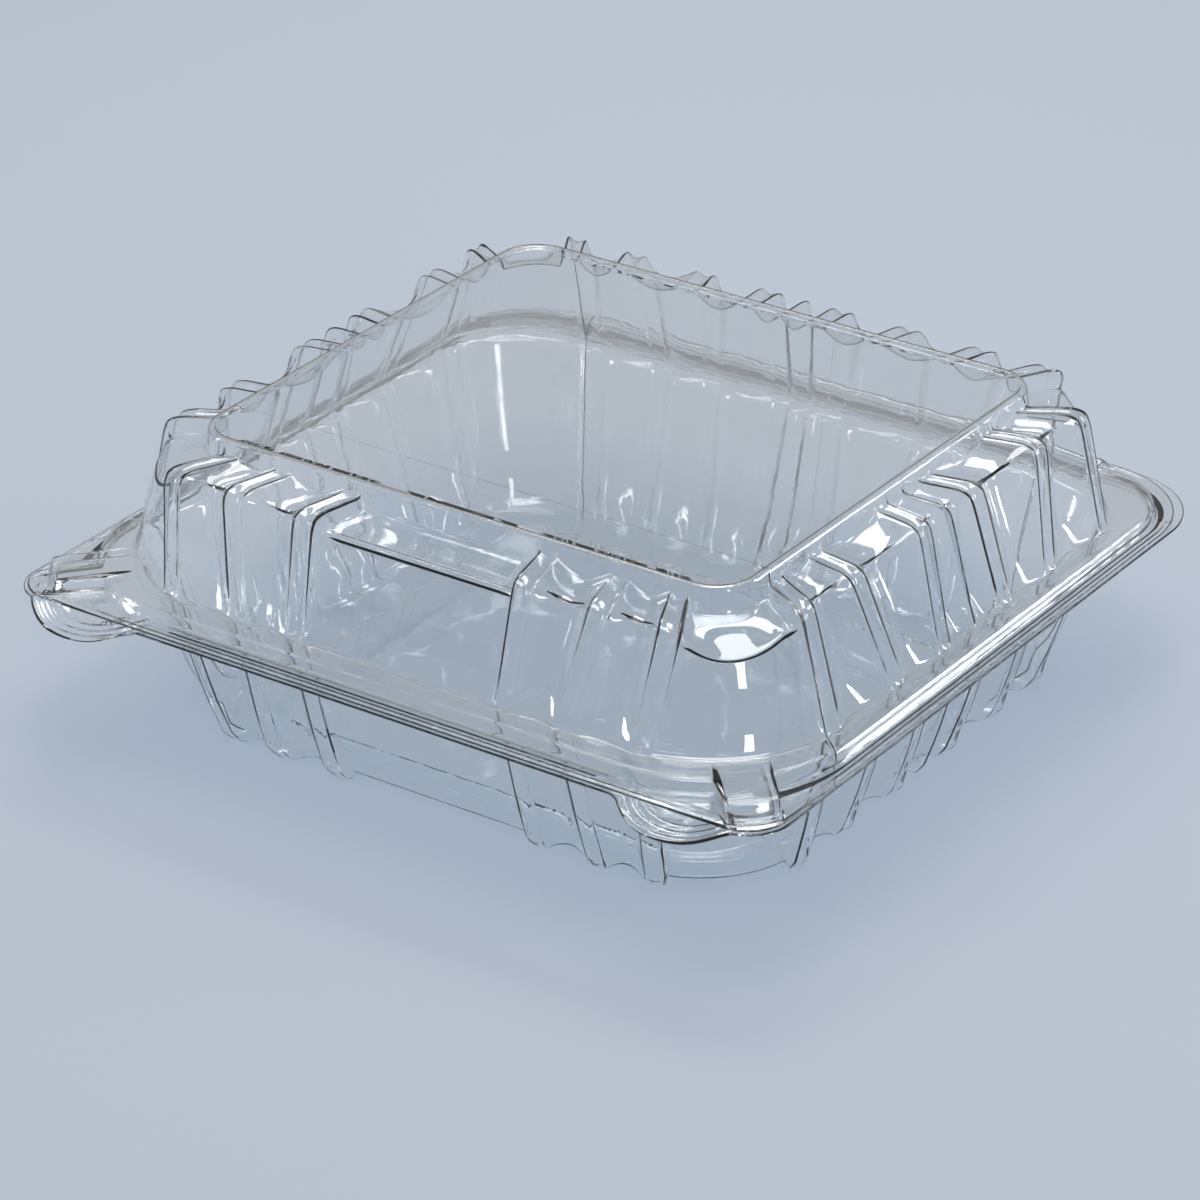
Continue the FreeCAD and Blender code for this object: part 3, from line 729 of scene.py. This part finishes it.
class CLAMSHELL_OT_tray(bpy.types.Operator):
    """Builds the tapered tray with its finger tabs and brim"""

    bl_idname = "clamshell.tray"
    bl_label = "Tray"

    def execute(self, context):
        grid = both_halves(tray_rows(Columns()))
        add_piece(sheet_mesh("tray_shell", grid, -1.0), "base", "base_tray")
        return {"FINISHED"}


def fold_mesh():
    """The creased strip that joins both brims: a half ring across the back edge, carried
    straight along the fold, with the thickness of the creased sheet."""
    size = sizes()
    turn = np.linspace(0.0, math.pi, FOLD_POINTS)
    back = size.middle_y + LID_BRIM[2] * MM
    along = np.array([-1.0, 1.0]) * size.bead_half
    rings = []
    for radius in (size.sheet, size.sheet * FOLD_INSIDE):
        rings.append(np.stack([back + radius * np.sin(turn),
                               size.tray_height - radius * np.cos(turn)], axis=1))
    loop = np.concatenate([rings[0], rings[1][::-1]])
    points = np.concatenate([np.insert(loop, 0, x, axis=1) for x in along])
    count = len(loop)
    here = np.arange(count)
    there = np.roll(here, -1)
    walls = np.stack([here, there, there + count, here + count], axis=1)
    k = np.arange(count // 2 - 1)
    ends = np.stack([k, count - 1 - k, count - 2 - k, k + 1], axis=1)
    faces = np.concatenate([walls, ends, ends[:, ::-1] + count])
    mesh = bpy.data.meshes.new("fold_strip")
    mesh.from_pydata(points.tolist(), [], faces[:, ::-1].tolist())
    mesh.update()
    mesh.shade_smooth()
    return mesh


class CLAMSHELL_OT_fold(bpy.types.Operator):
    """Builds the creased strip between the two brims"""

    bl_idname = "clamshell.fold"
    bl_label = "Fold"

    def execute(self, context):
        made = bpy.data.objects.new("fold_strip", fold_mesh())
        context.scene.collection.objects.link(made)
        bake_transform(made)
        made.data.materials.append(oriented_polystyrene())
        return {"FINISHED"}


class CLAMSHELL_OT_stage(bpy.types.Operator):
    """Builds the floor, the lamps, the world and the camera"""

    bl_idname = "clamshell.stage"
    bl_label = "Stage"

    def execute(self, context):
        floor_piece()
        for values in LAMPS:
            lamp(*values)
        world_light()
        camera()
        context.scene.view_settings.view_transform = "Standard"
        return {"FINISHED"}


def floor_piece():
    """A wide flat floor, which isn't part of the pack."""
    mesh = bpy.data.meshes.new("floor")
    corners = np.array([(-1, -1, 0), (1, -1, 0), (1, 1, 0), (-1, 1, 0)]) * FLOOR_REACH
    mesh.from_pydata(corners.tolist(), [], [(0, 1, 2, 3)])
    made = bpy.data.objects.new("floor", mesh)
    bpy.context.scene.collection.objects.link(made)
    made.data.materials.append(painted_board())


def painted_board():
    """Matt painted board: an even pale colour that mirrors neither lamps nor pack."""
    material = bpy.data.materials.new("matt_painted_board")
    material.use_nodes = True
    shader = material.node_tree.nodes["Principled BSDF"]
    shader.inputs["Base Color"].default_value = linear(look().floor)
    shader.inputs["Roughness"].default_value = 0.9
    shader.inputs["Specular IOR Level"].default_value = 0.0
    return material


def lamp(name, where, extent, radiance):
    """A rectangular softbox that faces the middle of the pack. Its radiance is this many
    times that of a fully lit white."""
    data = bpy.data.lights.new(name, "AREA")
    data.shape = "RECTANGLE"
    data.size, data.size_y = extent
    data.energy = radiance * math.pi * extent[0] * extent[1]
    made = bpy.data.objects.new(name, data)
    bpy.context.scene.collection.objects.link(made)
    made.location = where
    aim = Vector(LAMPS_FACE) - Vector(where)
    made.rotation_euler = aim.to_track_quat("-Z", "Y").to_euler()
    made.visible_camera = False


def world_light():
    """An even dim surround."""
    world = bpy.data.worlds.new("surround")
    bpy.context.scene.world = world
    world.use_nodes = True
    shade = world.node_tree.nodes["Background"]
    shade.inputs["Color"].default_value = linear("#FFFFFF")
    shade.inputs["Strength"].default_value = SURROUND


def camera():
    """A long lens at the height and the side of the photograph's view."""
    data = bpy.data.cameras.new("camera")
    data.sensor_width = 36.0
    data.lens = data.sensor_width * FOCAL_LENGTH / FRAME_WIDTH
    made = bpy.data.objects.new("camera", data)
    bpy.context.scene.collection.objects.link(made)
    azimuth, elevation = math.radians(AZIMUTH), math.radians(ELEVATION)
    back = Vector((math.sin(azimuth) * math.cos(elevation),
                   -math.cos(azimuth) * math.cos(elevation), math.sin(elevation)))
    made.location = Vector(TARGET) + back * DISTANCE
    made.rotation_euler = (-back).to_track_quat("-Z", "Y").to_euler()
    bpy.context.scene.camera = made


class CLAMSHELL_PT_panel(bpy.types.Panel):
    """Sizes, colours and buttons of the clamshell"""

    bl_idname = "CLAMSHELL_PT_panel"
    bl_label = "Clamshell"
    bl_space_type = "VIEW_3D"
    bl_region_type = "UI"
    bl_category = "Clamshell"

    def draw(self, context):
        for group in (context.scene.clamshell_sizes, context.scene.clamshell_look):
            for name in group.__annotations__:
                self.layout.prop(group, name)
        for operator in OPERATORS:
            self.layout.operator(operator.bl_idname)


GROUPS = (ClamshellSizes, ClamshellLook)
OPERATORS = (CLAMSHELL_OT_tray, CLAMSHELL_OT_lid, CLAMSHELL_OT_fold, CLAMSHELL_OT_stage)
CLASSES = GROUPS + OPERATORS + (CLAMSHELL_PT_panel,)


def register():
    for entry in CLASSES:
        bpy.utils.register_class(entry)
    bpy.types.Scene.clamshell_sizes = PointerProperty(type=ClamshellSizes)
    bpy.types.Scene.clamshell_look = PointerProperty(type=ClamshellLook)


def unregister():
    del bpy.types.Scene.clamshell_look
    del bpy.types.Scene.clamshell_sizes
    for entry in reversed(CLASSES):
        bpy.utils.unregister_class(entry)


def main():
    """Builds the pack and its stage."""
    register()
    bpy.ops.clamshell.tray()
    bpy.ops.clamshell.lid()
    bpy.ops.clamshell.fold()
    bpy.ops.clamshell.stage()


if __name__ == "__main__":
    main()
